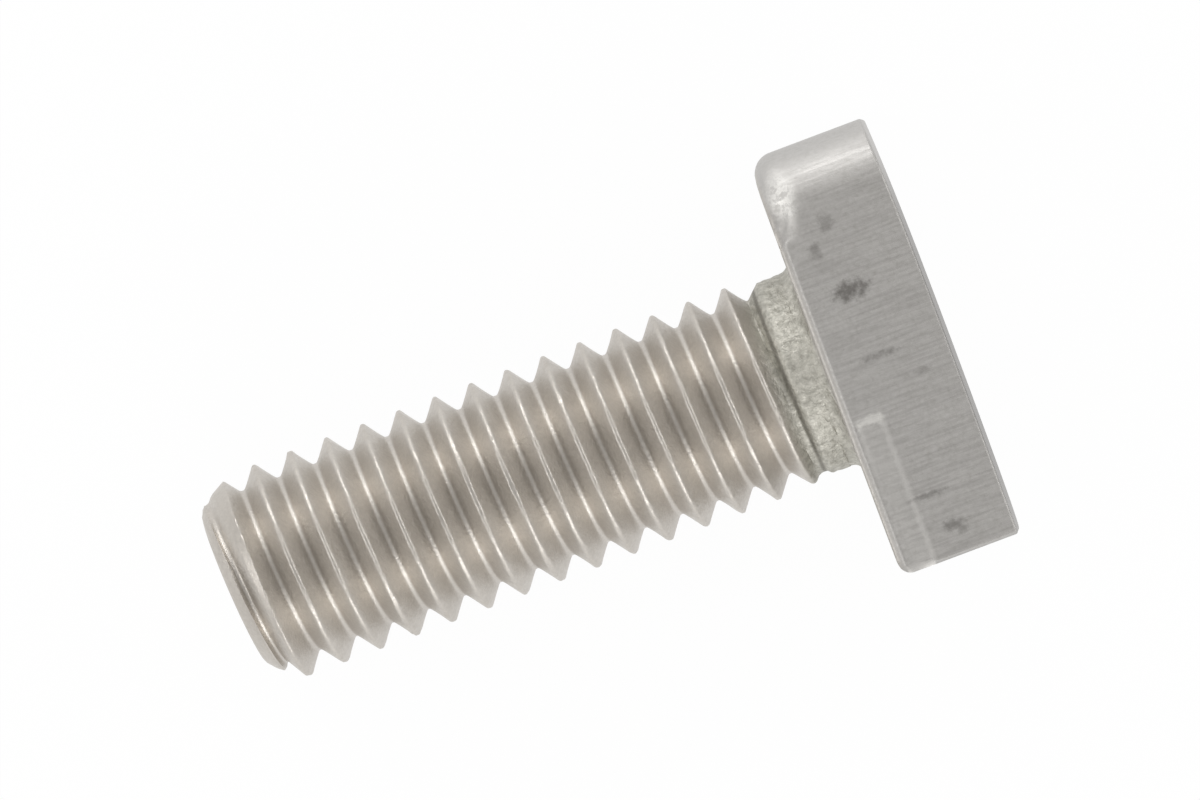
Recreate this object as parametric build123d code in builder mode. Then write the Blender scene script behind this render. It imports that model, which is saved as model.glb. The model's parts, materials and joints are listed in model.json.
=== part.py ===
"""T slot bolt with a hammer head, 5/16 inch, 18 threads to the inch, in millimetres.

One forged and rolled piece, lying on one long side of its head: the shank runs
along X with its tip at -X, and the head's long side rests on z = 0.
"""
import os

from build123d import *
from math import ceil, radians, tan

os.makedirs("parts", exist_ok=True)

# thread
thread_major = 7.94  # outside diameter of a 5/16 inch thread
pitch = 1.4111  # 18 threads to the inch
thread_depth = 0.75  # crest to root, measured square to the axis
flank_angle = 30  # each flank, from square to the axis
ridge_lead = 1.5  # how far ahead of the tip the ridge starts
turns_per_run = 6  # the ridge is wound a few turns at a time

# shank
under_head = 23.3  # tip to bearing face
tip_face = 5.5  # diameter of the flat end
neck_diameter = 7.45  # plain part between thread and head
neck_length = 1.33  # end of thread to bearing face
neck_flare = 0.44  # rounding where the neck meets the head

# head
head_length = 16.1  # wing tip to wing tip, along Y
head_width = 8.0  # between the long sides, along Z
head_height = 4.55  # bearing face to top, along X
turn_corner_radius = 2.4  # rounding of the two corners that lead when the head turns
wing_end_round = 0.65  # underside edge at each wing tip
rim_rise = 0.42  # steep bevel next to the bearing face, along X
rim_set = 0.25  # and how far it stands in from the side
wing_rise = 0.98  # shallow bevel above it, along X
wing_set = 0.3  # and how far it stands in from the side

# sizes that follow from those
crest_radius = thread_major / 2
root_radius = crest_radius - thread_depth
neck_radius = neck_diameter / 2
collar_radius = neck_radius + neck_flare
thread_end = under_head - neck_length
overall = under_head + head_height
axis_height = head_width / 2
ridge_sink = thread_depth / 4
foot_half = (thread_depth + ridge_sink) * tan(radians(flank_angle))
run_length = pitch * turns_per_run
runs = ceil((thread_end + 2 * ridge_lead) / run_length)
chamfer = crest_radius - tip_face / 2
half_length = head_length / 2
half_width = head_width / 2

# planes at the tip: one square to the axis, one along it through the middle, and one
# parallel to the long sides; x along the axis in the last two starts at the tip
tip_origin = (-overall / 2, 0, axis_height)
square_on = Plane(origin=tip_origin, x_dir=(0, 1, 0), z_dir=(1, 0, 0))
lengthwise = Plane(origin=tip_origin, x_dir=(1, 0, 0), z_dir=(0, -1, 0))
plan = Plane(origin=tip_origin, x_dir=(1, 0, 0), z_dir=(0, 0, 1))
bolt_axis = Axis(tip_origin, (1, 0, 0))

# Threaded shank. A right-hand ridge of triangular section is wound round a core, its
# foot sunk a little way in, and both run past the thread at each end. The whole is
# then turned to shape: a 45 degree point at the tip and a square end at the neck.
with BuildPart() as shank:
    with BuildSketch(square_on.offset(-2 * ridge_lead)):
        Circle(root_radius)
    extrude(amount=runs * run_length + 2 * ridge_lead)
    with BuildLine() as ridge_path:
        for run in range(runs):
            Helix(
                pitch=pitch,
                height=run_length,
                radius=root_radius,
                center=(run * run_length - overall / 2 - ridge_lead, 0, axis_height),
                direction=(1, 0, 0),
            )
    first_run = ridge_path.edges().sort_by(Axis.X)[0]
    across_ridge = Plane(origin=first_run @ 0, x_dir=(1, 0, 0), z_dir=first_run % 0)
    with BuildSketch(across_ridge):
        with BuildLine():
            Polyline(
                (-foot_half, -ridge_sink),
                (0, thread_depth),
                (foot_half, -ridge_sink),
                close=True,
            )
        make_face()
    sweep(path=ridge_path.wires()[0], is_frenet=True)
    with BuildSketch(lengthwise):
        with BuildLine():
            Polyline(
                (0, 0),
                (0, tip_face / 2),
                (chamfer + thread_depth, crest_radius + thread_depth),
                (thread_end, crest_radius + thread_depth),
                (thread_end, 0),
                close=True,
            )
        make_face()
    revolve(axis=bolt_axis, mode=Mode.INTERSECT)

# Plain neck. Its front cone fills the thread's last groove, where the thread runs out,
# and its back flares into the bearing face. The flare and the collar behind
# it stop flush with the head's long sides.
with BuildPart() as neck:
    with BuildSketch(lengthwise):
        with BuildLine():
            run_out = Polyline(
                (under_head + rim_rise + wing_rise, collar_radius),
                (under_head + rim_rise + wing_rise, 0),
                (thread_end - thread_depth, 0),
                (thread_end - thread_depth, neck_radius - thread_depth),
                (thread_end, neck_radius),
                (under_head - neck_flare, neck_radius),
            )
            flare = Bezier(
                (under_head - neck_flare, neck_radius),
                (under_head, neck_radius),
                (under_head, collar_radius),
            )
            Line(flare @ 1, run_out @ 0)
        make_face()
    revolve(axis=bolt_axis)
    with BuildSketch(lengthwise):
        with Locations((overall / 2, 0)):
            Rectangle(overall, head_width)
    extrude(amount=collar_radius * 2, both=True, mode=Mode.INTERSECT)

# Head, as the overlap of its three outlines. Seen along the axis it is a rectangle
# with two opposite corners rounded. Seen on its long side the underside is rounded
# at each wing tip. Seen on its end both long sides are bevelled towards the underside.
with BuildPart() as head:
    with BuildSketch(square_on.offset(under_head)) as along_axis:
        Rectangle(head_length, head_width)
        leading = [v for v in along_axis.vertices() if v.X * v.Y > 0]
        fillet(leading, radius=turn_corner_radius)
    extrude(amount=head_height)
    with BuildSketch(plan) as on_long_side:
        with Locations((under_head + head_height / 2, 0)):
            Rectangle(head_height, head_length)
        underside = on_long_side.vertices().group_by(Axis.X)[0]
        fillet(underside, radius=wing_end_round)
    extrude(amount=half_width * 2, both=True, mode=Mode.INTERSECT)
    with BuildSketch(lengthwise):
        with BuildLine():
            Polyline(
                (under_head, half_width - wing_set - rim_set),
                (under_head + rim_rise, half_width - wing_set),
                (under_head + rim_rise + wing_rise, half_width),
                (overall, half_width),
                (overall, -half_width),
                (under_head + rim_rise + wing_rise, -half_width),
                (under_head + rim_rise, wing_set - half_width),
                (under_head, rim_set + wing_set - half_width),
                close=True,
            )
        make_face()
    extrude(amount=half_length * 2, both=True, mode=Mode.INTERSECT)

# The whole bolt, one solid piece of metal
with BuildPart() as bolt:
    add(shank.part)
    add(neck.part)
    add(head.part)

bolt.part.label = "bolt"
export_step(bolt.part, "parts/bolt.step")
print("bolt", round(bolt.part.volume, 1), "mm3,", len(bolt.faces()), "faces,",
      len(bolt.solids()), "solid, valid", bolt.part.is_valid)
print("box", bolt.part.bounding_box())
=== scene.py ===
# %% [markdown]
# # A hammer head T slot bolt
# This lesson dresses one piece of bare stainless steel: a rolled thread, a short
# neck and a flat head with two wings. The solid model gives every size. It has
# sharp crests and crisp bevels, so the lesson rebuilds its skin as one closed mesh
# with worn crests, rounded roots and the marks of the press, and then adds steel,
# light and a camera.

# %% Load the solid model
import json
import math

import bmesh
import bpy
import numpy as np
from mathutils import Matrix, Vector


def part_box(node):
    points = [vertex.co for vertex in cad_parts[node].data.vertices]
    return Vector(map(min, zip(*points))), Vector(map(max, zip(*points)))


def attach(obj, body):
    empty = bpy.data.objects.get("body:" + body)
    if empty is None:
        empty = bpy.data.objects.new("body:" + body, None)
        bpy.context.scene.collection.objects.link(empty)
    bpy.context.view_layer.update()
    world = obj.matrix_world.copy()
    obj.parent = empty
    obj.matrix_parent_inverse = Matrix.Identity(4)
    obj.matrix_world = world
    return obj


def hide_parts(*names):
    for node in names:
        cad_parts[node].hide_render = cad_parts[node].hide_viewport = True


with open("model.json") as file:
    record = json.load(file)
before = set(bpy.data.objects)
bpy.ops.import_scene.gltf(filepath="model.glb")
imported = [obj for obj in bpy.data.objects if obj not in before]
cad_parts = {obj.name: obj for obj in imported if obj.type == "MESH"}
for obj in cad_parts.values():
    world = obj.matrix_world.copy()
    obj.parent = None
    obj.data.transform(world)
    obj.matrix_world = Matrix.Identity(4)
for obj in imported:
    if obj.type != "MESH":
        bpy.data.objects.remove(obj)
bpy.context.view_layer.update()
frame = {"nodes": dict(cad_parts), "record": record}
print("solid pieces:", sorted(frame["nodes"]))

# %% [markdown]
# ## Sizes
# The bolt lies along X on one long side of its head. Its box and its stated mating
# places give the tip, the bearing face, the neck and the thread, so nothing here has
# to be measured twice. Everything is in metres, and `MM` keeps the small numbers
# readable.

# %% Read the sizes from the model
MM = 0.001
low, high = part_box("bolt")
places = {m["name"]: m for m in frame["record"]["mounts"]}
tip_x = low.x
top_x = high.x
bearing_x = places["wing_seat_left"]["pos_m"][0]
axis_z = places["thread"]["pos_m"][2]
half_length = high.y
half_width = high.z - axis_z
crest_r = places["thread"]["dims"]["r_mm"] * MM
neck_r = places["neck"]["dims"]["r_mm"] * MM
thread_end_x = tip_x + places["thread"]["dims"]["length_mm"] * MM
flare_x = places["neck"]["pos_m"][0]
print("length", round((top_x - tip_x) / MM, 2), "mm, head", round(2 * half_length / MM, 2), "mm")

# %% [markdown]
# ## Shape of the thread
# A rolled thread has straight 30 degree flanks, a wide rounded root and a narrow
# crest. The dies squeeze metal up into the crest from both sides, which leaves it
# blunt with a faint crease along the middle. One function gives the height over
# the root for any place across one turn, so every row of the mesh asks the same
# question.

# %% Height of the thread across one turn
pitch = 25.4 * MM / 18
thread_depth = 0.76 * MM
root_r = crest_r + 0.015 * MM - thread_depth
phase_x = tip_x + 0.99 * MM  # where a crest passes angle 0
lean = 0.0084  # how far the thread's plane leans, as a slope
root_edge = 0.455  # turns from a crest to the foot of its flank
crest_edge = 0.06  # turns from a crest to the top of its flank
root_bend = 0.16  # rounding of the root, in heights
crest_bend = 0.09  # rounding of the crest's two shoulders, in heights
crest_fall = 2 / 3  # how fast the blunt crest falls away, in heights to a turn
crease_depth = 0.025  # depth of the crease along the crest, in heights
crease_half = 0.022  # half its width, in turns


def smooth(value, start, end):
    """0 before start, 1 after end, and a soft step between them."""
    t = np.clip((value - start) / (end - start), 0, 1)
    return t * t * (3 - 2 * t)


def thread_height(turns):
    """Height over the root at a place given in turns from a crest, from 0 to 1."""
    off = np.abs(turns - np.round(turns))
    flank = np.clip((root_edge - off) / (root_edge - crest_edge), 0, None)
    rounded_root = 0.5 * (flank + np.sqrt(flank ** 2 + root_bend ** 2) - root_bend)
    blunt = 1 - crest_fall * off
    mix = np.clip(0.5 + (blunt - rounded_root) / (2 * crest_bend), 0, 1)
    top = rounded_root * mix + blunt * (1 - mix) - crest_bend * mix * (1 - mix)
    crease = crease_depth * np.exp(-(off / crease_half) ** 2)
    return np.clip(top - crease, 0, 1)


print("pitch", round(pitch / MM, 4), "mm, height at a flank's middle",
      round(float(thread_height(np.array(0.26))), 3))

# %% [markdown]
# ## Lumps and dents
# No surface on a cheap rolled bolt is perfect. A small seeded noise, smooth from
# point to point, makes the crests uneven and the neck grainy. It is a sum of sine
# waves with random directions, which is quick, repeatable and can be asked for at
# any point in space.

# %% A repeatable bumpy noise
def bumpy(points, size, seed, waves=28):
    """Noise of about -1 to 1 at points in metres, with lumps of one size in metres."""
    rng = np.random.default_rng(seed)
    total = np.zeros(points.shape[:-1])
    for _ in range(waves):
        way = rng.normal(size=3)
        way *= rng.uniform(0.6, 1.5) * 2 * math.pi / (size * np.linalg.norm(way) * 2.2)
        total += np.sin(points @ way + rng.uniform(0, 2 * math.pi))
    return total * math.sqrt(2 / waves)


def around(x, angle, radius):
    """Points at an angle about the bolt's axis."""
    x, angle, radius = np.broadcast_arrays(x, angle, radius)
    return np.stack([x, radius * np.cos(angle), axis_z + radius * np.sin(angle)], axis=-1)


print("noise at the origin", round(float(bumpy(np.zeros(3), 0.3 * MM, 1)), 3))

# %% [markdown]
# ## The shank's surface
# The shank is a height field about the axis: a radius for every place along and
# around it. The thread starts small at the tip, where the blank's end is rounded,
# and runs out in half a turn at the neck, where the last groove gets shallow. The
# neck itself was never rolled, so it keeps a coarse orange peel.

# %% Radius of the shank anywhere
end_round = 0.45 * MM
first_flat = 0.18 * MM
first_rise = 0.56  # slope of the point on which the thread begins
ramp_slope = 0.95  # slope of the shoulder at the neck
fill_share = 0.8  # how far the last groove fills up before the shoulder
neck_start = thread_end_x


def shank_radius(x, angle):
    """Radius of the shank at x and an angle, in metres."""
    angle = np.mod(angle, 2 * math.pi)
    turns = (x - lean * crest_r * np.cos(angle) - phase_x) / pitch - angle / (2 * math.pi)
    spot = around(x, angle, crest_r)
    from_tip = x - tip_x
    lift = np.clip((from_tip - first_flat) * first_rise, 0, thread_depth)
    wear = 0.022 * bumpy(spot, 0.24 * MM, 3) + 0.02 * bumpy(spot, 1.6 * MM, 4)
    full = thread_height(turns)
    full = full * (1 + wear * smooth(full, 0.5, 0.95))
    tired = 0.12 * MM * smooth(x, neck_start - 1.2 * MM, neck_start - 0.5 * MM)
    crest_line = root_r + np.minimum(full * (thread_depth - tired), lift)
    corner = np.clip(end_round - from_tip, 0, end_round)
    core = root_r - end_round + np.sqrt(end_round ** 2 - corner ** 2)
    body = crest_line - (root_r - core)
    peel = 0.009 * MM * bumpy(spot, 0.20 * MM, 5) + 0.012 * MM * bumpy(spot, 0.6 * MM, 6)
    plain = neck_r + peel
    groove_x = phase_x + (np.floor(turns) + 0.5 + angle / (2 * math.pi)) * pitch
    run_out = smooth(groove_x, neck_start - 0.45 * MM, neck_start + 0.30 * MM)
    filled = root_r + (plain - root_r) * fill_share * run_out
    body = np.where(run_out > 0, np.maximum(body, filled), body)
    thread_left = 1 - smooth(x, neck_start - 0.5 * MM, neck_start)
    body = np.minimum(body, plain + (crest_r - plain) * thread_left)
    ramp_x = neck_start - 0.50 * MM + 0.14 * MM * (1 - np.cos(angle)) / 2
    return np.maximum(body, np.minimum(plain, root_r + (x - ramp_x) * ramp_slope))


print("radius halfway", round(float(shank_radius(np.array(0.0), np.array(1.0))) / MM, 3), "mm")

# %% [markdown]
# ## Wind the shank's rows
# If the rows of the mesh ran straight round the bolt, the crests would turn into
# stair steps. Here each row follows the helix, so an edge loop always sits on the
# crest, and rows are closer together where the shape turns sharply. At the tip and
# the neck the rows are held back at a flat end.

# %% Rows that follow the helix
columns = 140
angles = np.arange(columns) / columns * 2 * math.pi
across = np.array([0, 0.02, 0.042, 0.065, 0.088, 0.112, 0.15, 0.25, 0.34, 0.39, 0.43, 0.465])
across = np.concatenate([across, [0.5], 1 - across[:0:-1]])
turns_needed = math.ceil((neck_start - tip_x) / pitch) + 3
starts = (np.arange(-2, turns_needed)[:, None] + across[None, :]).ravel()
rows = phase_x + pitch * (starts[:, None] + angles[None, :] / (2 * math.pi))
rows = rows + lean * crest_r * np.cos(angles)[None, :]
stop_x = neck_start + 0.30 * MM
rows = np.clip(rows, tip_x, stop_x)
wound_rows = len(rows)
per_turn = len(across)
plain_rows = np.linspace(stop_x, flare_x, 16)
rows = np.vstack([rows, np.repeat(plain_rows[:, None], columns, axis=1)])
shank_rings = around(rows, angles[None, :], shank_radius(rows, angles[None, :]))


def skew_tip(points):
    """Leans the flat end a little, as a sheared blank is left."""
    share = 1 - smooth(points[..., 0], tip_x, tip_x + 1.7 * MM)
    points[..., 0] += 0.17 * MM * (1 - points[..., 1] / root_r) * share
    return points


shank_rings = skew_tip(shank_rings)
print("shank rows", len(rows), "of", columns, "points")

# %% [markdown]
# ## Outline of the head
# Seen along the axis the head is a rectangle with two rounded corners, which let it
# turn in the slot, and two nearly sharp ones. Its points are found along rays from
# the axis, so the same rays can be used at every height, and they are closer
# together on the long side that faces up.

# %% Where a ray leaves the head's outline
turn_round = 2.4 * MM
sharp_round = 0.16 * MM


def outline(angle, end_in, side_in):
    """Distance from the axis to the head's outline, set in at the wing ends and the long sides."""
    c, s = np.cos(angle), np.sin(angle)
    reach_y = half_length - end_in
    reach_z = half_width - side_in
    corner = np.where(c * s > 0, turn_round, sharp_round)
    flat = np.minimum(reach_y / np.maximum(np.abs(c), 1e-9), reach_z / np.maximum(np.abs(s), 1e-9))
    cy, cz = reach_y - corner, reach_z - corner
    along = np.abs(c) * cy + np.abs(s) * cz
    inside = along ** 2 - (cy ** 2 + cz ** 2 - corner ** 2)
    curved = along + np.sqrt(np.maximum(inside, 0))
    y, z = flat * np.abs(c), flat * np.abs(s)
    return np.where((y > cy) & (z > cz), curved, flat)


def rays():
    """Angles of the head's columns, evenly spaced along each side."""
    fine = np.linspace(-half_length, half_length, 181)
    coarse = np.linspace(-half_length, half_length, 61)
    ends = np.linspace(-half_width, half_width, 37)[1:-1]
    top = np.arctan2(np.full(fine.shape, half_width), fine)
    bottom = np.arctan2(np.full(coarse.shape, -half_width), coarse)
    right = np.arctan2(ends, np.full(ends.shape, half_length))
    left = np.arctan2(ends, np.full(ends.shape, -half_length))
    turn = math.atan2(half_width - turn_round * 0.3, half_length - turn_round * 0.3)
    extra = np.linspace(turn - 0.11, turn + 0.11, 15)
    angle = np.concatenate([top, bottom, right, left, extra, extra + math.pi])
    angle = np.unique(np.round(np.mod(angle, 2 * math.pi), 5))
    return angle[np.append(True, np.diff(angle) > 2e-4)]


head_angles = rays()
print("head columns", len(head_angles))

# %% [markdown]
# ## Press marks on the head
# The die leaves the head's underside edges bevelled, and this one has more: a flat
# pressed strip along one wing, a torn bright patch at the corner of the other, and
# a soft round at each wing tip. Each mark is a depth to take off the long side,
# given as a function of the place on it, so marks can simply be added together.

# %% How far the surface stands in from the plain outline
strip_low, strip_high = 0.25 * MM, 1.5 * MM  # edges of the pressed strip above the bearing face
strip_wane = 0.25 * MM  # width over which its upper edge fades
torn_at = 6.2 * MM  # middle of the torn patch, along the head


def side_depth(x, y, upward):
    """Depth of the marks on a long side, at x from the bearing face and y along it."""
    up = x - bearing_x
    rim = 0.22 * MM * (1 - smooth(up, 0, 0.30 * MM))
    bevel = 0.20 * MM * (1 - smooth(up, 0.10 * MM, 1.15 * MM))
    near_neck = 1 - smooth(np.abs(y), 3.2 * MM, 4.6 * MM)
    plain = rim * (1 - 0.35 * near_neck) + bevel * (1 - near_neck)
    strip_across = smooth(up, strip_low, 0.60 * MM) * (1 - smooth(up, 1.15 * MM, strip_high))
    strip = 0.06 * MM * strip_across * (1 - smooth(y, -2.6 * MM, -2.05 * MM))
    torn_y = np.exp(-((y - torn_at) / (1.05 * MM)) ** 4)
    torn = 0.46 * MM * torn_y * (1 - smooth(up, -0.3 * MM, 1.25 * MM))
    ragged = np.stack([up, y, 0 * y], axis=-1)
    torn = torn * (1 + 0.16 * bumpy(ragged, 0.35 * MM, 21) + 0.10 * bumpy(ragged, 0.9 * MM, 22))
    crown = 0.03 * MM * (np.abs(y) / half_length) ** 2
    marked = rim * 0.8 + bevel * (1 - near_neck) * 0.45 + strip + torn + crown
    return np.where(upward, marked, plain)


def end_depth(x, plus_end):
    """Depth of the rounded underside edge at each wing end."""
    radius = np.where(plus_end, 0.85 * MM, 0.5 * MM)
    rest = np.clip(radius - (x - bearing_x), 0, radius)
    return radius - np.sqrt(np.maximum(radius ** 2 - rest ** 2, 0))


print("torn patch depth", round(float(side_depth(bearing_x, torn_at, True)) / MM, 2), "mm")

# %% [markdown]
# ## The head's surface
# Three functions give the flare at the neck's foot, the head's sides and its top.
# The sides take all the press marks from above and a very light unevenness. The top
# is slightly crowned, and its rim is worn round.

# %% Radius of the flare and the head
flare_out = bearing_x - flare_x
top_round = 0.10 * MM


def flare_radius(x):
    """Radius of the neck's rounded foot."""
    t = np.clip((x - flare_x) / flare_out, 0, 1)
    return neck_r + flare_out * (1 - np.sqrt(1 - t ** 2))


def head_radius(x, angle):
    """Radius of the head at x and an angle, with all its marks."""
    base = outline(angle, 0, 0)
    y = base * np.cos(angle)
    upward = np.sin(angle) > 0
    near_top = np.clip(x - (top_x - top_round), 0, top_round)
    worn = top_round - np.sqrt(np.maximum(top_round ** 2 - near_top ** 2, 0))
    tool = bumpy(around(x, angle, base) * np.array([0.25, 1, 1]), 0.25 * MM, 8)
    uneven = 0.0012 * MM * tool + 0.004 * MM * bumpy(around(x, angle, base), 2.2 * MM, 9)
    side_in = side_depth(x, y, upward) + worn + 0.01 * MM + uneven
    end_in = end_depth(x, np.cos(angle) > 0) + worn + 0.006 * MM
    return outline(angle, end_in, side_in)


def top_surface(y):
    """Height lost by the head's top towards its ends."""
    return 0.10 * MM * np.clip(y / half_length, 0, 1) ** 3 + 0.06 * MM * (y / half_length) ** 2


print("flare radius at the bearing face", round(float(flare_radius(bearing_x)) / MM, 3), "mm")

# %% [markdown]
# ## The flare and the bearing face
# The flare is wider than the head's sides, so it is held to the depth of their
# bevel, which melts the two together as forging does. The flat bearing face is
# filled by rings that spread from the flare's foot to the head's edge.

# %% Rings of the flare and the bearing face
slab = (half_width - 0.20 * MM) / np.maximum(np.abs(np.sin(head_angles)), 1e-9)
flare_rows = flare_x + flare_out * np.sin(np.linspace(0.04, math.pi / 2, 12))
flare_rings = []
for x in flare_rows:
    rough = 0.004 * MM * bumpy(around(x, head_angles, neck_r), 0.22 * MM, 5)
    flare_rings.append(around(x, head_angles, np.minimum(flare_radius(x) + rough, slab)))
foot = np.minimum(flare_radius(bearing_x), slab)
edge = np.maximum(head_radius(np.full(head_angles.shape, bearing_x), head_angles), foot)
bearing_rings = []
for share in np.linspace(0, 1, 40)[1:]:
    radius = foot + (edge - foot) * share
    bearing_rings.append(around(np.full(radius.shape, bearing_x), head_angles, radius))
print("flare and bearing rings", len(flare_rings), len(bearing_rings))

# %% [markdown]
# ## The sides and the top
# Rows climb from the bearing face to the top, close together where the marks are
# and at the worn rim, and wider apart between. The head also sits a hair off centre
# on its shank, as upset heads do.

# %% Rings of the sides and the top
near = np.linspace(0, 1.5 * MM, 34)[1:]
middle = np.linspace(1.5 * MM, top_x - bearing_x - 0.25 * MM, 20)[1:]
last = top_x - bearing_x - 0.25 * MM * np.cos(np.linspace(0, math.pi / 2, 10)[1:]) ** 1.5
side_rings = []
for up in np.concatenate([near, middle, last]):
    x = np.full(head_angles.shape, bearing_x + up)
    radius = head_radius(x, head_angles)
    y = radius * np.cos(head_angles)
    x = x - top_surface(y) * up / (top_x - bearing_x)
    side_rings.append(around(x, head_angles, radius))
rim_radius = np.linalg.norm(side_rings[-1][:, 1:] - np.array([0, axis_z]), axis=1)
top_rings = []
for share in np.linspace(1, 0, 14)[1:-1]:
    radius = rim_radius * share
    x = top_x - top_surface(radius * np.cos(head_angles))
    top_rings.append(around(x, head_angles, radius))
off_centre = 0.06 * MM
for ring in bearing_rings + side_rings + top_rings:
    from_axis = np.hypot(ring[:, 1], ring[:, 2] - axis_z)
    ring[:, 1] -= off_centre * smooth(from_axis, 4.1 * MM, 6.5 * MM)
head_rings = flare_rings + bearing_rings + side_rings + top_rings
print("head rings", len(head_rings))

# %% [markdown]
# ## One closed mesh
# The shank and the head have different numbers of columns. Where they meet, at the
# start of the flare, a strip of triangles is laid by always stepping to the next
# point in angle on either side, like a zip. Each end is closed with a fan. The
# thread's rows climb one pitch in a turn, so the last point of such a row joins the
# row one turn further on.

# %% Join the rings
def skin(name, first_rings, first_angles, second_rings, second_angles, wound):
    """One closed mesh from two stacks of rings, where the rings from wound[0] to wound[1] climb."""
    points = first_rings + second_rings
    starts = np.cumsum([0] + [len(ring) for ring in points])
    faces = []
    first, last = wound
    for k in range(first - per_turn, last):
        low_left, high_left = (starts[max(r, first)] + columns - 1 for r in (k, k + 1))
        low_right, high_right = (starts[min(r + per_turn, last)] for r in (k, k + 1))
        faces.append([low_left, low_right, high_right, high_left])
    for k in range(len(points) - 1):
        a, b, n = starts[k], starts[k + 1], len(points[k])
        if len(points[k + 1]) == n:
            step = np.arange(n)
            nxt = (step + 1) % n
            quads = np.stack([a + step, a + nxt, b + nxt, b + step], axis=1)
            faces.extend((quads[:-1] if first <= k < last else quads).tolist())
            continue
        i = j = 0
        m = len(points[k + 1])
        one = np.append(first_angles, first_angles[0] + 2 * math.pi)
        two = np.append(second_angles, second_angles[0] + 2 * math.pi)
        while i < n or j < m:
            if j >= m or (i < n and one[i + 1] <= two[j + 1]):
                faces.append([a + i, a + (i + 1) % n, b + j % m])
                i += 1
            else:
                faces.append([a + i % n, b + (j + 1) % m, b + j])
                j += 1
    vertices = np.concatenate(points)
    tip_centre = len(vertices)
    vertices = np.vstack([vertices, points[0].mean(axis=0), [top_x, 0, axis_z]])
    n = len(points[0])
    faces += [[(i + 1) % n, i, tip_centre] for i in range(n)]
    last_start, n = starts[-2], len(points[-1])
    faces += [[last_start + i, last_start + (i + 1) % n, tip_centre + 1] for i in range(n)]
    mesh = bpy.data.meshes.new(name)
    mesh.from_pydata(vertices.tolist(), [], faces)
    return mesh


print("rows to a turn", per_turn)

# %% [markdown]
# ## The sheared tip and the whole skin
# The flat end was cropped, not turned, so its face is a little uneven. Its rings are
# laid first, then the shank's, then the head's, and all of them become one object.

# %% The bolt's skin
tip_lid = []
first_ring = shank_rings[0]
centre = first_ring.mean(axis=0)
for share in np.linspace(0.12, 0.94, 9):
    lid = centre + (first_ring - centre) * share
    lid[:, 0] += 0.03 * MM + 0.008 * MM * bumpy(lid, 0.8 * MM, 12)
    tip_lid.append(lid)
wound = (len(tip_lid), len(tip_lid) + wound_rows - 1)
bolt_mesh = skin("bolt_skin", tip_lid + list(shank_rings), angles, head_rings, head_angles, wound)
bolt_skin = bpy.data.objects.new("bolt_skin", bolt_mesh)
bpy.context.scene.collection.objects.link(bolt_skin)
print("points", len(bolt_mesh.vertices))

# %% [markdown]
# ## Clean the skin
# Points that fell together are merged, slivers go, and every face is turned
# outwards. No open edge may be left, or the skin isn't one closed piece. Then the
# skin is tied to its body and takes the place of the solid.

# %% Merge, check and tie
work = bmesh.new()
work.from_mesh(bolt_mesh)
bmesh.ops.remove_doubles(work, verts=work.verts, dist=0.0008 * MM)
bmesh.ops.dissolve_degenerate(work, edges=work.edges, dist=0.0005 * MM)
bmesh.ops.recalc_face_normals(work, faces=work.faces)
open_edges = sum(1 for e in work.edges if not e.is_manifold)
work.to_mesh(bolt_mesh)
work.free()
bolt_mesh.shade_smooth()
bolt_mesh.set_sharp_from_angle(angle=math.radians(42))
triangles = sum(len(p.vertices) - 2 for p in bolt_mesh.polygons)
print("bolt skin", triangles, "triangles, open edges", open_edges)

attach(bolt_skin, "root")
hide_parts("bolt")

# %% [markdown]
# ## Helpers for node groups
# Two effects are used in several places: fine scratches that run along the bolt,
# and a round grain. Each is built once as a node group with its own inputs, so a
# material can ask for it at the size and strength it wants. A group gives back only
# a value that changes over the surface. Three helpers keep the wiring short.

# %% Making groups and nodes
def new_group(name, inputs):
    """A node group with value inputs and one value output."""
    group = bpy.data.node_groups.new(name, "ShaderNodeTree")
    for label, default in inputs:
        socket = group.interface.new_socket(label, in_out="INPUT", socket_type="NodeSocketFloat")
        socket.default_value = default
    group.interface.new_socket("Mask", in_out="OUTPUT", socket_type="NodeSocketFloat")
    return group, group.nodes.new("NodeGroupInput"), group.nodes.new("NodeGroupOutput")


def math_node(tree, operation, first, second=0.0):
    """A Math node fed by sockets or plain numbers."""
    node = tree.nodes.new("ShaderNodeMath")
    node.operation = operation
    for socket, value in zip(node.inputs, (first, second)):
        if isinstance(value, (int, float)):
            socket.default_value = value
        else:
            tree.links.new(value, socket)
    return node.outputs[0]


def noise_node(tree, vector, scale, detail, rough):
    """A Noise texture's value, with its place and its scale from sockets."""
    node = tree.nodes.new("ShaderNodeTexNoise")
    node.inputs["Detail"].default_value = detail
    node.inputs["Roughness"].default_value = rough
    tree.links.new(vector, node.inputs["Vector"])
    tree.links.new(scale, node.inputs["Scale"])
    return node.outputs[0]


print("node groups so far", len(bpy.data.node_groups))

# %% [markdown]
# ## Scratches along the bolt
# A linishing belt leaves long thin lines. Noise makes them when its coordinates are
# squeezed along the bolt, because each lump is then drawn out into a streak.

# %% Streaks
streaks, streaks_in, streaks_out = new_group("steel_streaks", [("Scale", 4000.0), ("Stretch", 0.06)])
coords = streaks.nodes.new("ShaderNodeTexCoord")
stretch = streaks.nodes.new("ShaderNodeCombineXYZ")
streaks.links.new(streaks_in.outputs["Stretch"], stretch.inputs[0])
stretch.inputs[1].default_value = 1
stretch.inputs[2].default_value = 1
squeezed = streaks.nodes.new("ShaderNodeVectorMath")
squeezed.operation = "MULTIPLY"
streaks.links.new(coords.outputs["Object"], squeezed.inputs[0])
streaks.links.new(stretch.outputs[0], squeezed.inputs[1])
line_noise = noise_node(streaks, squeezed.outputs[0], streaks_in.outputs["Scale"], 4.0, 0.6)
streaks.links.new(line_noise, streaks_out.inputs["Mask"])
print("group", streaks.name)

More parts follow.
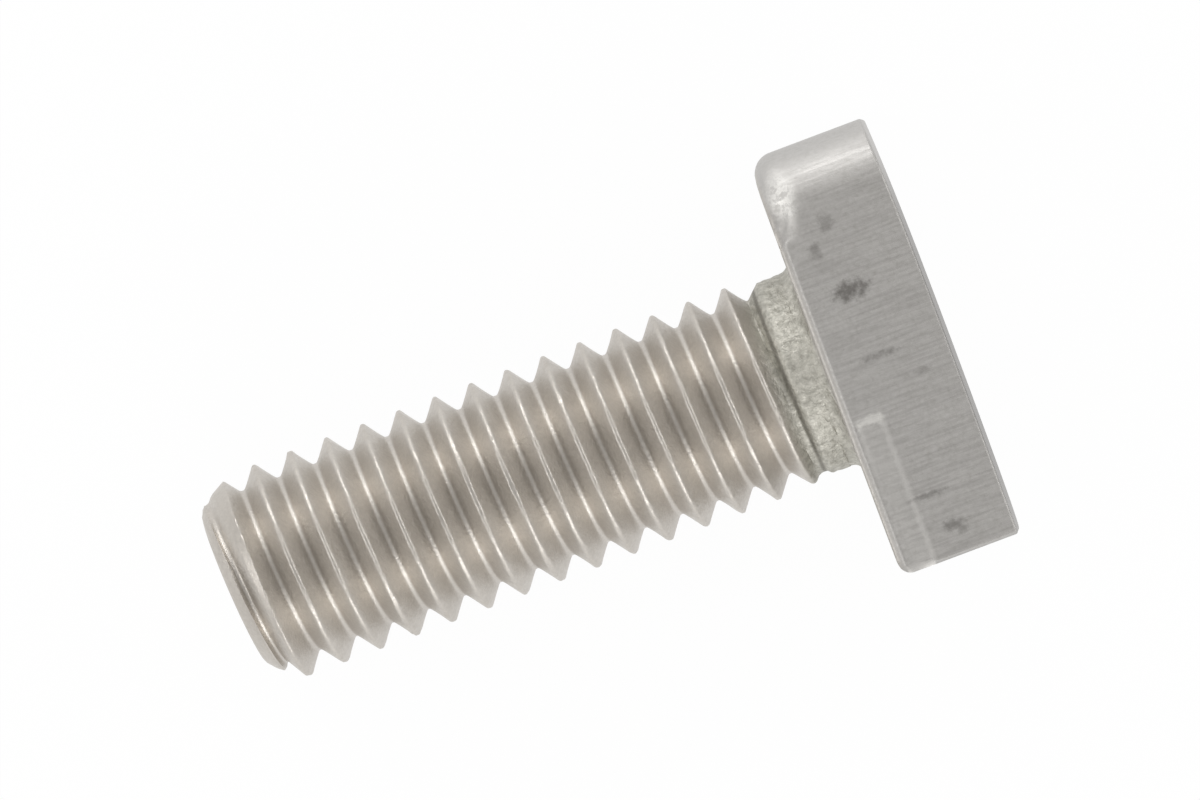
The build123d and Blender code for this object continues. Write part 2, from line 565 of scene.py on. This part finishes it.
# %% [markdown]
# ## Round grain
# Rolled and pushed metal has a grain with no direction. The same noise does for
# fine specks and for broad clouds, and an input spreads it about its middle value.

# %% Grain
grain, grain_in, grain_out = new_group("steel_grain", [("Scale", 5000.0), ("Contrast", 1.0)])
grain_coords = grain.nodes.new("ShaderNodeTexCoord")
spots = noise_node(grain, grain_coords.outputs["Object"], grain_in.outputs["Scale"], 3.0, 0.65)
centred = math_node(grain, "SUBTRACT", spots, 0.5)
lifted = math_node(grain, "MULTIPLY", centred, grain_in.outputs["Contrast"])
grain.links.new(math_node(grain, "ADD", lifted, 0.5), grain_out.inputs["Mask"])
print("group", grain.name)

# %% [markdown]
# ## Bare stainless steel
# The shank is rolled between dies, which burnishes it and leaves it a little warm
# in colour. The head is cut from bar and linished along the axis, so it is cooler
# and carries long scratches. One material does both, and its colours are all mixed
# by masks, so three more helpers place a group, a soft step and a mix of colours.

# %% The steel material
steel = bpy.data.materials.new("bare_steel")
steel.use_nodes = True
tree = steel.node_tree
shader = tree.nodes["Principled BSDF"]
shader.inputs["Metallic"].default_value = 1.0


def place_group(group, **values):
    """Puts a node group in the steel and sets its inputs."""
    node = tree.nodes.new("ShaderNodeGroup")
    node.node_tree = group
    for label, value in values.items():
        node.inputs[label].default_value = value
    return node.outputs["Mask"]


def step_node(value, start, end, low_out=0.0, high_out=1.0):
    """A Map Range node that clamps."""
    node = tree.nodes.new("ShaderNodeMapRange")
    node.interpolation_type = "SMOOTHSTEP"
    tree.links.new(value, node.inputs["Value"])
    for label, number in zip(("From Min", "From Max", "To Min", "To Max"), (start, end, low_out, high_out)):
        node.inputs[label].default_value = number
    return node.outputs[0]


def mix_colour(factor, first, second):
    """A colour mix of two colours or sockets."""
    node = tree.nodes.new("ShaderNodeMix")
    node.data_type = "RGBA"
    tree.links.new(factor, node.inputs[0])
    for socket, value in zip(node.inputs[6:8], (first, second)):  # the two colour inputs
        if isinstance(value, tuple):
            socket.default_value = (*value, 1)
        else:
            tree.links.new(value, socket)
    return node.outputs[2]


print("material", steel.name)

# %% [markdown]
# ## Where each finish lies
# A mask along X moves from the shank's finish to the head's, and another picks out
# the neck between them. The scratches and the grain are placed once each at the
# sizes this steel needs.

# %% Masks of the steel
position = tree.nodes.new("ShaderNodeTexCoord").outputs["Object"]
parts_of = tree.nodes.new("ShaderNodeSeparateXYZ")
tree.links.new(position, parts_of.inputs[0])
px, py, pz = parts_of.outputs
on_head = step_node(px, bearing_x - 0.15 * MM, bearing_x + 0.25 * MM)
in_neck = step_node(px, thread_end_x - 0.85 * MM, thread_end_x - 0.35 * MM)
before_head = step_node(px, bearing_x - 0.1 * MM, bearing_x + 0.1 * MM, 1, 0)
rough_neck = math_node(tree, "MULTIPLY", in_neck, before_head)
long_lines = place_group(streaks, Scale=8500.0, Stretch=0.06)
fine_grain = place_group(grain, Scale=9000.0, Contrast=1.4)
coarse_grain = place_group(grain, Scale=3800.0, Contrast=2.2)
speckle = place_group(grain, Scale=6500.0, Contrast=2.0)
clouds = place_group(grain, Scale=420.0, Contrast=1.6)
print("nodes in the steel so far", len(tree.nodes))

# %% [markdown]
# ## Colours of the shank, the neck and the head
# The shank is warm with lighter clouds and darker specks. The neck was pushed but
# never rolled, so it is greyer and blotchy. A dark ring of painted shade lies in the
# last groove, where the thread runs out. The head is cooler, with the lines of the
# linishing belt.

# %% Steel colours
shank_colour = mix_colour(clouds, (0.57, 0.535, 0.49), (0.64, 0.605, 0.56))
shank_spots = mix_colour(clouds, (0.50, 0.47, 0.43), (0.56, 0.53, 0.49))
shank_colour = mix_colour(speckle, shank_spots, shank_colour)
head_colour = mix_colour(long_lines, (0.48, 0.465, 0.45), (0.55, 0.54, 0.525))
head_spots = mix_colour(coarse_grain, (0.40, 0.39, 0.37), (0.50, 0.49, 0.475))
head_colour = mix_colour(speckle, head_spots, head_colour)
neck_colour = mix_colour(coarse_grain, (0.36, 0.35, 0.31), (0.63, 0.615, 0.56))
shank_colour = mix_colour(rough_neck, shank_colour, neck_colour)
# Painted shade: a dark ring in the last groove of the thread, where it runs out.
ring_x = math_node(tree, "ADD", px, math_node(tree, "MULTIPLY", py, 0.025))
ring_off = math_node(tree, "ABSOLUTE", math_node(tree, "SUBTRACT", ring_x, thread_end_x - 0.12 * MM))
last_groove_shade = step_node(ring_off, 0.02 * MM, 0.12 * MM, 0.75, 0.0)
shank_colour = mix_colour(last_groove_shade, shank_colour, (0.20, 0.19, 0.165))
steel_colour = mix_colour(on_head, shank_colour, head_colour)
print("dark ring", round((thread_end_x - 0.12 * MM - tip_x) / MM, 2), "mm from the tip")

# %% [markdown]
# ## Dark smudges
# Scale was left in the bar's skin, and shows as a few small grey smudges on the
# side of the head. Each is a soft ellipse with a ragged edge, placed by its
# distance from the bearing face and from the axis.

# %% Smudges on the head's side
def ragged_spot(up, y, long_mm, wide_mm, strength):
    """A ragged spot on the upper long side, as a mask."""
    ox = math_node(tree, "DIVIDE", math_node(tree, "SUBTRACT", px, bearing_x + up * MM), long_mm * MM)
    oy = math_node(tree, "DIVIDE", math_node(tree, "SUBTRACT", py, y * MM), wide_mm * MM)
    square = math_node(tree, "ADD", math_node(tree, "MULTIPLY", ox, ox), math_node(tree, "MULTIPLY", oy, oy))
    ragged = math_node(tree, "ADD", square, math_node(tree, "MULTIPLY", coarse_grain, 1.3))
    return step_node(ragged, 0.35, 2.1, strength, 0.0)


spots_on_head = None
for up, y, long_mm, wide_mm, strength in [
    (1.9, 4.85, 0.35, 0.35, 0.40),
    (1.2, 4.05, 0.30, 0.35, 0.45),
    (1.95, 2.25, 0.75, 0.42, 0.85),
    (2.2, -0.30, 0.80, 0.14, 0.60),
    (3.3, -1.35, 0.45, 0.12, 0.30),
    (1.9, -5.65, 0.80, 0.12, 0.60),
    (2.4, -6.95, 0.45, 0.28, 0.60),
    (2.7, -7.25, 0.30, 0.16, 0.45),
]:
    spot = ragged_spot(up, y, long_mm, wide_mm, strength)
    spots_on_head = spot if spots_on_head is None else math_node(tree, "MAXIMUM", spots_on_head, spot)
upper_side = step_node(pz, axis_z + half_width - 0.9 * MM, axis_z + half_width - 0.5 * MM)
smudged = math_node(tree, "MULTIPLY", math_node(tree, "MULTIPLY", spots_on_head, upper_side), on_head)
steel_colour = mix_colour(smudged, steel_colour, (0.18, 0.17, 0.16))

# %% [markdown]
# ## Painted highlights and a darker top
# Where the die tore the corner of one wing, the tilted facet is painted near white,
# a painted highlight for the light it catches. The pressed strip along the other wing
# is painted a little lighter, a painted highlight for the light its bevel catches,
# most of all where it begins, and the head gets a soft painted highlight towards its
# rounded end. The top of the head and its worn rim are painted darker.

# %% Painted highlights on the torn patch, the strip and the round end, and a darker top
up_side = step_node(pz, axis_z + 2.2 * MM, axis_z + 3.2 * MM)
# Painted highlight: the torn facet on the upper wing is painted near white.
torn_patch_highlight = math_node(tree, "MULTIPLY", ragged_spot(0.72, 6.3, 0.62, 0.98, 1.0), up_side)
torn_patch_highlight = math_node(tree, "MULTIPLY", torn_patch_highlight, step_node(coarse_grain, 0.3, 0.65, 0.3, 1.0))
steel_colour = mix_colour(torn_patch_highlight, steel_colour, (0.92, 0.91, 0.88))
# Painted highlight: the head is painted lighter towards its rounded end, for the light on the rounding.
round_end_highlight = math_node(tree, "MULTIPLY", step_node(py, 5.8 * MM, 7.4 * MM, 0.0, 0.3), on_head)
steel_colour = mix_colour(round_end_highlight, steel_colour, (0.66, 0.65, 0.635))
waver = math_node(tree, "MULTIPLY", math_node(tree, "SUBTRACT", coarse_grain, 0.5), 0.28 * MM)
from_bearing = math_node(tree, "ADD", math_node(tree, "SUBTRACT", px, bearing_x), waver)
strip_y = math_node(tree, "ADD", py, waver)
in_strip = math_node(tree, "MULTIPLY", step_node(from_bearing, strip_low, 0.5 * MM),
                     step_node(from_bearing, strip_high - strip_wane, strip_high, 1, 0))
in_strip = math_node(tree, "MULTIPLY", in_strip, step_node(strip_y, -2.5 * MM, -2.1 * MM, 1, 0))
in_strip = math_node(tree, "MULTIPLY", in_strip, up_side)
# Painted highlight: the pressed strip is painted a little lighter, and brightest where it begins.
strip_highlight = math_node(tree, "MULTIPLY", in_strip, step_node(strip_y, -2.7 * MM, -2.3 * MM, 0.14, 0.9))
steel_colour = mix_colour(strip_highlight, steel_colour, (0.74, 0.73, 0.70))
# The head's top face and its worn rim are painted darker.
dark_top = step_node(px, top_x - 0.10 * MM, top_x - 0.02 * MM, 0.0, 0.55)
steel_colour = mix_colour(dark_top, steel_colour, (0.22, 0.215, 0.21))
tree.links.new(steel_colour, shader.inputs["Base Color"])
print("smudges placed on the side that faces up")

# %% [markdown]
# ## Roughness and fine relief
# Gloss and relief do most of the work on bare metal. The thread is smooth with a
# light grain, the neck is coarse, and the head is scratched along its length. Bump
# adds only what is finer than the mesh.

# %% Roughness and bump
shank_rough = step_node(fine_grain, 0.2, 0.8, 0.36, 0.52)
head_rough = step_node(long_lines, 0.3, 0.7, 0.50, 0.64)
shank_rough = math_node(tree, "ADD", shank_rough, math_node(tree, "MULTIPLY", rough_neck, 0.14))
rough_mix = tree.nodes.new("ShaderNodeMix")
tree.links.new(on_head, rough_mix.inputs[0])
tree.links.new(shank_rough, rough_mix.inputs[2])
tree.links.new(head_rough, rough_mix.inputs[3])
tree.links.new(rough_mix.outputs[0], shader.inputs["Roughness"])

head_relief = math_node(tree, "ADD", math_node(tree, "MULTIPLY", long_lines, 0.30),
                        math_node(tree, "MULTIPLY", speckle, 0.30))
neck_relief = math_node(tree, "MULTIPLY", coarse_grain, 4.0)
shank_relief = math_node(tree, "MULTIPLY", fine_grain, 1.5)
shank_relief = math_node(tree, "ADD", shank_relief, math_node(tree, "MULTIPLY", neck_relief, rough_neck))
relief = tree.nodes.new("ShaderNodeMix")
tree.links.new(on_head, relief.inputs[0])
tree.links.new(shank_relief, relief.inputs[2])
tree.links.new(head_relief, relief.inputs[3])
bump = tree.nodes.new("ShaderNodeBump")
bump.inputs["Strength"].default_value = 0.5
bump.inputs["Distance"].default_value = 0.02 * MM
tree.links.new(relief.outputs[0], bump.inputs["Height"])
tree.links.new(bump.outputs[0], shader.inputs["Normal"])
bolt_skin.data.materials.clear()
bolt_skin.data.materials.append(steel)
print("roughness and bump linked")

# %% [markdown]
# ## Floor
# A metal part shows mostly what stands around it. The floor is matt and nearly
# white, and to the camera and in reflections it mostly glows at a strength of one,
# so that it reads as clean paper and still keeps a faint soft shadow.

# %% White floor
floor_mesh = bpy.data.meshes.new("floor")
reach = 1.5
floor_mesh.from_pydata([(-reach, -reach, 0), (reach, -reach, 0), (reach, reach, 0), (-reach, reach, 0)],
                       [], [(0, 1, 2, 3)])
floor = bpy.data.objects.new("floor", floor_mesh)
floor.location.z = -0.01 * MM
bpy.context.scene.collection.objects.link(floor)


def seen_rays(nodes, links):
    """1 for camera, glossy and transmission rays, 0 for the rest."""
    path = nodes.new("ShaderNodeLightPath")
    total = path.outputs["Is Camera Ray"]
    for label in ("Is Glossy Ray", "Is Transmission Ray"):
        node = nodes.new("ShaderNodeMath")
        node.operation = "MAXIMUM"
        links.new(total, node.inputs[0])
        links.new(path.outputs[label], node.inputs[1])
        total = node.outputs[0]
    return total


paper = bpy.data.materials.new("white_paper")
paper.use_nodes = True
nodes, links = paper.node_tree.nodes, paper.node_tree.links
matt = nodes["Principled BSDF"]
matt.inputs["Base Color"].default_value = (0.86, 0.86, 0.86, 1)
matt.inputs["Roughness"].default_value = 0.9
matt.inputs["Specular IOR Level"].default_value = 0.0
glow = nodes.new("ShaderNodeEmission")
glow.inputs["Strength"].default_value = 1.0
share = nodes.new("ShaderNodeMath")
share.operation = "MULTIPLY"
share.inputs[1].default_value = 0.97
links.new(seen_rays(nodes, links), share.inputs[0])
blend = nodes.new("ShaderNodeMixShader")
links.new(share.outputs[0], blend.inputs[0])
links.new(matt.outputs[0], blend.inputs[1])
links.new(glow.outputs[0], blend.inputs[2])
links.new(blend.outputs[0], nodes["Material Output"].inputs["Surface"])
floor_mesh.materials.append(paper)
print("floor", 2 * reach, "m wide")

# %% [markdown]
# ## The room
# Behind the floor the camera sees plain white. The metal sees a dimmer, slightly
# warm room, so that the lamps still stand out on it as bands.

# %% Plain world
world = bpy.data.worlds.new("studio")
bpy.context.scene.world = world
world.use_nodes = True
nodes, links = world.node_tree.nodes, world.node_tree.links
room = nodes["Background"]
room.inputs["Color"].default_value = (1.0, 0.985, 0.965, 1)
room.inputs["Strength"].default_value = 0.46
backdrop = nodes.new("ShaderNodeBackground")
backdrop.inputs["Strength"].default_value = 1.0
path = nodes.new("ShaderNodeLightPath")
choose = nodes.new("ShaderNodeMixShader")
links.new(path.outputs["Is Camera Ray"], choose.inputs[0])
links.new(room.outputs[0], choose.inputs[1])
links.new(backdrop.outputs[0], choose.inputs[2])
links.new(choose.outputs[0], nodes["World Output"].inputs["Surface"])
print("world", world.name)

# %% [markdown]
# ## Soft lamps
# Four large soft lamps stand round the bolt, about a third of the way up from the
# floor. Round metal then shows one bright band on each side with a darker one in
# the middle, and every crest and root gets a thin light line.

# %% Four soft boxes
middle_of_bolt = Vector((0, 0, axis_z))


def soft_box(name, bearing, climb, far, wide, tall, strength):
    """An area lamp at a bearing and a climb in degrees, aimed at the bolt."""
    data = bpy.data.lights.new(name, "AREA")
    data.shape = "RECTANGLE"
    data.size = wide
    data.size_y = tall
    data.energy = strength
    lamp = bpy.data.objects.new(name, data)
    way = Vector((math.cos(math.radians(bearing)) * math.cos(math.radians(climb)),
                  math.sin(math.radians(bearing)) * math.cos(math.radians(climb)),
                  math.sin(math.radians(climb))))
    lamp.location = middle_of_bolt + way * far
    lamp.rotation_euler = way.to_track_quat("Z", "Y").to_euler()
    bpy.context.scene.collection.objects.link(lamp)
    return lamp


soft_box("lamp_plus_side", 90, 27, 0.6, 0.7, 0.20, 1.8)
soft_box("lamp_minus_side", -90, 26, 0.6, 0.7, 0.20, 1.8)
soft_box("lamp_tip_side", 180, 34, 0.6, 0.5, 0.20, 0.9)
soft_box("lamp_head_side", 0, 34, 0.6, 0.5, 0.20, 0.9)

# %% [markdown]
# ## Camera
# The bolt is seen from straight above, from half a metre away and a touch towards
# the head, so a sliver of the head's top shows. The view is turned so that the
# shank climbs to the upper right. A long lens keeps the thread from bulging.

# %% Camera above the bolt
picture_width = 43.76 * MM
turn = math.radians(20.57)
aim = Vector((1.21 * MM, 1.73 * MM, axis_z))
height = 480 * MM
offset = Vector((21.0 * MM, 0, height))
camera_data = bpy.data.cameras.new("camera")
camera_data.lens = camera_data.sensor_width * height / picture_width
camera_data.clip_start = 0.01
camera = bpy.data.objects.new("camera", camera_data)
camera.location = aim + offset
back = offset.normalized()
right = Vector((math.cos(turn), -math.sin(turn), 0))
up_way = back.cross(right).normalized()
right = up_way.cross(back).normalized()
camera.rotation_euler = Matrix((right, up_way, back)).transposed().to_euler()
bpy.context.scene.collection.objects.link(camera)
bpy.context.scene.camera = camera
bpy.context.scene.view_settings.view_transform = "Standard"
print("camera", [round(v, 4) for v in camera.location])
